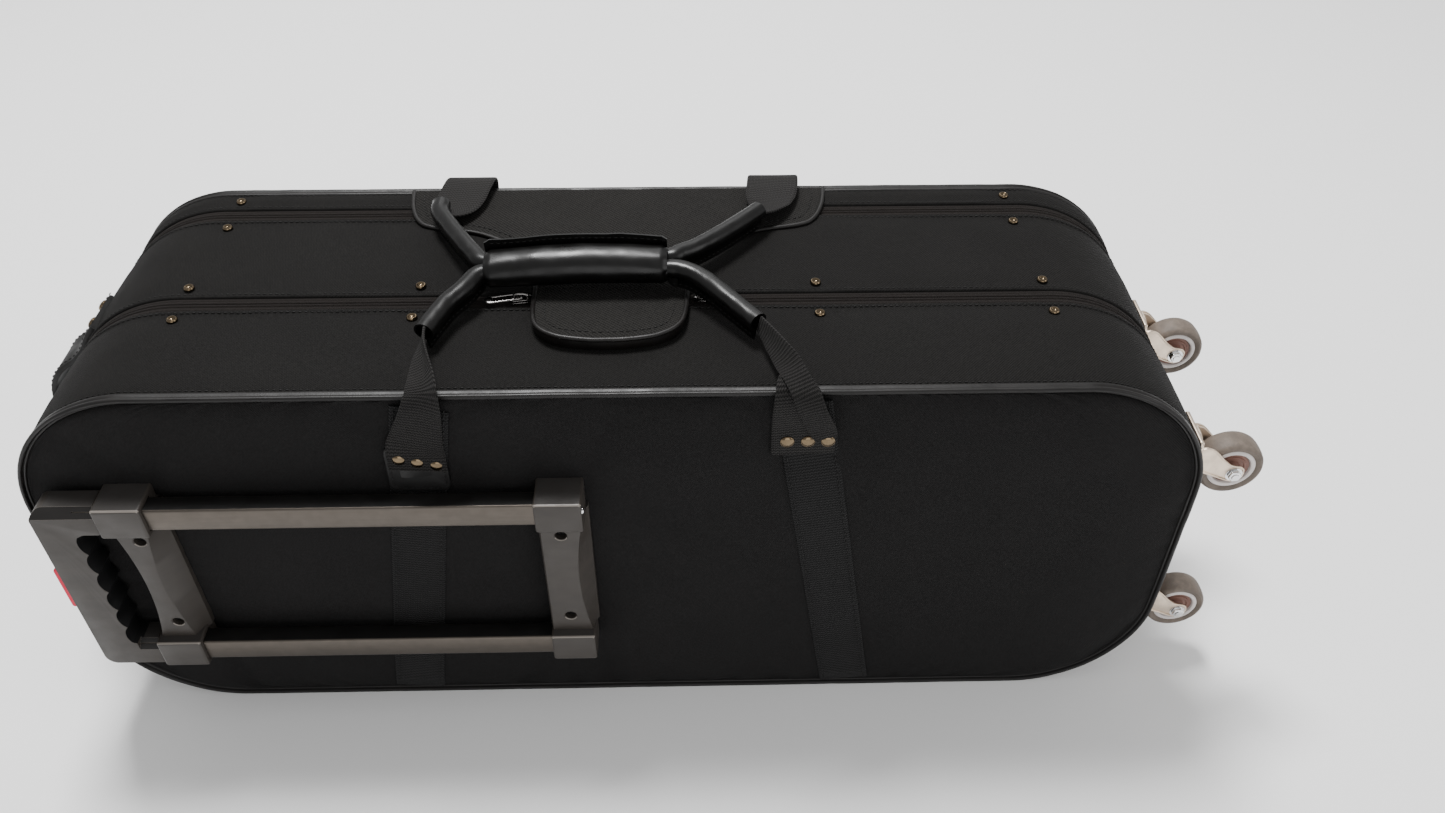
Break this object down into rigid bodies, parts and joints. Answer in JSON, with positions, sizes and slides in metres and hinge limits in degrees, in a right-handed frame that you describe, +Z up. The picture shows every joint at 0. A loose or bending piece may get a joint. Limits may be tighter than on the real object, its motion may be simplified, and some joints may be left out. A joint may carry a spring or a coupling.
{
  "type": "bowling ball bag",
  "caption": "Long wheeled soft case for bowling balls with two carry handles, an end handle, a slide-out trolley handle, a zipped front half and rear lid, and swivel casters.",
  "frame": {"origin": "centre of the underside of the middle section, on the floor, with the bag lying on its long side and its carry handles up", "axes": "+X along the bag to the caster end, -Y out of the front panel that carries the trolley handle, +Z up through the carry handles"},
  "size_m": [0.9474, 0.3006, 0.3745],
  "materials": {
    "shell_fabric": "black polyester twill over board, matt",
    "flap_fabric": "black twill bound with a glossy vinyl bead",
    "vinyl_piping": "glossy black vinyl piping",
    "webbing": "black ribbed polypropylene webbing",
    "handle_leather": "soft black leatherette, satin sheen",
    "foam": "grey open-cell foam",
    "board": "black lined stiffening board",
    "zip_tape": "brown-black zipper tape",
    "zip_metal": "nickel plated",
    "brass_rivets": "antique brass, worn",
    "trolley_plastic": "grey-brown moulded nylon, satin",
    "rail_aluminium": "bronze-grey anodised",
    "button_red": "red moulded plastic",
    "pad_plastic": "black moulded plastic",
    "caster_steel": "yellow-zinc plated pressed steel",
    "tyre_rubber": "grey-brown rubber tread",
    "hub_plastic": "off-white nylon rim with a red-brown disc"
  },
  "bodies": {
    "case": {"case_shell": "shell_fabric", "divider_panel": "board", "rear_foam_tray": "foam", "case_front_zip_tape": "zip_tape", "case_rear_zip_tape": "zip_tape", "case_front_rivets": "brass_rivets", "case_rear_rivets": "brass_rivets", "end_handle": "handle_leather", "rear_caster_pad": "pad_plastic", "rear_upper_caster_plate": "caster_steel", "rear_lower_caster_plate": "caster_steel"},
    "front_half": {"front_shell": "shell_fabric", "front_panel": "shell_fabric", "front_piping": "vinyl_piping", "front_foam_tray": "foam", "front_zip_tape": "zip_tape", "front_lid_rivets": "brass_rivets", "front_strap_left": "webbing", "front_strap_right": "webbing", "front_handle_rivets": "brass_rivets", "trolley_bracket_left": "trolley_plastic", "trolley_bracket_right": "trolley_plastic", "trolley_rail_upper": "rail_aluminium", "trolley_rail_lower": "rail_aluminium", "front_caster_pad": "pad_plastic", "front_upper_caster_plate": "caster_steel", "front_lower_caster_plate": "caster_steel"},
    "rear_lid": {"rear_shell": "shell_fabric", "rear_piping": "vinyl_piping", "rear_zip_tape": "zip_tape", "rear_lid_rivets": "brass_rivets", "rear_strap_left": "webbing", "rear_strap_right": "webbing", "rear_handle_rivets": "brass_rivets", "closure_flap": "flap_fabric"},
    "front_carry_handle": {"front_handle": "handle_leather", "handle_wrap": "handle_leather"},
    "rear_carry_handle": {"rear_handle": "handle_leather"},
    "trolley_slide": {"trolley_grip": "trolley_plastic", "trolley_tube_upper": "rail_aluminium", "trolley_tube_lower": "rail_aluminium"},
    "push_button": {"trolley_button": "button_red"},
    "front_upper_swivel": {"front_upper_caster_fork": "caster_steel"},
    "front_upper_wheel": {"front_upper_caster_tyre": "tyre_rubber", "front_upper_caster_hub": "hub_plastic"},
    "front_lower_swivel": {"front_lower_caster_fork": "caster_steel"},
    "front_lower_wheel": {"front_lower_caster_tyre": "tyre_rubber", "front_lower_caster_hub": "hub_plastic"},
    "rear_upper_swivel": {"rear_upper_caster_fork": "caster_steel"},
    "rear_upper_wheel": {"rear_upper_caster_tyre": "tyre_rubber", "rear_upper_caster_hub": "hub_plastic"},
    "rear_lower_swivel": {"rear_lower_caster_fork": "caster_steel"},
    "rear_lower_wheel": {"rear_lower_caster_tyre": "tyre_rubber", "rear_lower_caster_hub": "hub_plastic"},
    "front_zip_left_slide": {"front_zip_left_slider": "zip_metal"},
    "front_zip_left_tab": {"front_zip_left_pull": "zip_metal"},
    "front_zip_right_slide": {"front_zip_right_slider": "zip_metal"},
    "front_zip_right_tab": {"front_zip_right_pull": "zip_metal"},
    "rear_zip_slide": {"rear_zip_slider": "zip_metal"},
    "rear_zip_tab": {"rear_zip_pull": "zip_metal"}
  },
  "joints": [
    {"name": "front_half_hinge", "type": "hinge", "parent": "case", "child": "front_half", "pos_m": [0, -0.0255, 0], "axis": [1, 0, 0], "range_deg": [0, 100]},
    {"name": "rear_lid_hinge", "type": "hinge", "parent": "case", "child": "rear_lid", "pos_m": [0, 0.095, 0], "axis": [-1, 0, 0], "range_deg": [0, 100], "deforming": ["closure_flap"]},
    {"name": "front_handle_swing", "type": "hinge", "parent": "front_half", "child": "front_carry_handle", "pos_m": [0, -0.138, 0.339], "axis": [1, 0, 0], "range_deg": [0, 150]},
    {"name": "rear_handle_swing", "type": "hinge", "parent": "rear_lid", "child": "rear_carry_handle", "pos_m": [0, 0.138, 0.339], "axis": [1, 0, 0], "range_deg": [-150, 0]},
    {"name": "trolley_extend", "type": "slide", "parent": "front_half", "child": "trolley_slide", "axis": [-1, 0, 0], "range_m": [0, 0.24]},
    {"name": "button_press", "type": "slide", "parent": "trolley_slide", "child": "push_button", "axis": [1, 0, 0], "range_m": [0, 0.0035], "stiffness_N_per_m": 300},
    {"name": "front_upper_swivel_turn", "type": "hinge", "parent": "front_half", "child": "front_upper_swivel", "pos_m": [0.428, -0.092, 0.24], "axis": [1, 0, 0], "continuous": true},
    {"name": "front_upper_wheel_spin", "type": "hinge", "parent": "front_upper_swivel", "child": "front_upper_wheel", "pos_m": [0.464, -0.092, 0.222], "axis": [0, 1, 0], "continuous": true},
    {"name": "front_lower_swivel_turn", "type": "hinge", "parent": "front_half", "child": "front_lower_swivel", "pos_m": [0.428, -0.092, 0.076], "axis": [1, 0, 0], "continuous": true},
    {"name": "front_lower_wheel_spin", "type": "hinge", "parent": "front_lower_swivel", "child": "front_lower_wheel", "pos_m": [0.464, -0.092, 0.058], "axis": [0, 1, 0], "continuous": true},
    {"name": "rear_upper_swivel_turn", "type": "hinge", "parent": "case", "child": "rear_upper_swivel", "pos_m": [0.428, 0.05, 0.24], "axis": [1, 0, 0], "continuous": true},
    {"name": "rear_upper_wheel_spin", "type": "hinge", "parent": "rear_upper_swivel", "child": "rear_upper_wheel", "pos_m": [0.464, 0.05, 0.222], "axis": [0, 1, 0], "continuous": true},
    {"name": "rear_lower_swivel_turn", "type": "hinge", "parent": "case", "child": "rear_lower_swivel", "pos_m": [0.428, 0.05, 0.076], "axis": [1, 0, 0], "continuous": true},
    {"name": "rear_lower_wheel_spin", "type": "hinge", "parent": "rear_lower_swivel", "child": "rear_lower_wheel", "pos_m": [0.464, 0.05, 0.058], "axis": [0, 1, 0], "continuous": true},
    {"name": "front_zip_left_run", "type": "slide", "parent": "case", "child": "front_zip_left_slide", "axis": [-1, 0, 0], "range_m": [0, 0.235]},
    {"name": "front_zip_left_tab_lift", "type": "hinge", "parent": "front_zip_left_slide", "child": "front_zip_left_tab", "pos_m": [-0.071, -0.0255, 0.3365], "axis": [0, 1, 0], "range_deg": [0, 12]},
    {"name": "front_zip_right_run", "type": "slide", "parent": "case", "child": "front_zip_right_slide", "axis": [1, 0, 0], "range_m": [0, 0.24]},
    {"name": "front_zip_right_tab_lift", "type": "hinge", "parent": "front_zip_right_slide", "child": "front_zip_right_tab", "pos_m": [0.064, -0.0255, 0.3365], "axis": [0, -1, 0], "range_deg": [0, 12]},
    {"name": "rear_zip_run", "type": "slide", "parent": "case", "child": "rear_zip_slide", "axis": [0, 0, 1], "range_m": [0, 0.1]},
    {"name": "rear_zip_tab_lift", "type": "hinge", "parent": "rear_zip_slide", "child": "rear_zip_tab", "pos_m": [0.4295, 0.095, 0.122], "axis": [0, -1, 0], "range_deg": [0, 100]}
  ],
  "couplings": [
    {"joint": "rear_handle_swing", "follows": "front_handle_swing", "ratio": -1}
  ]
}
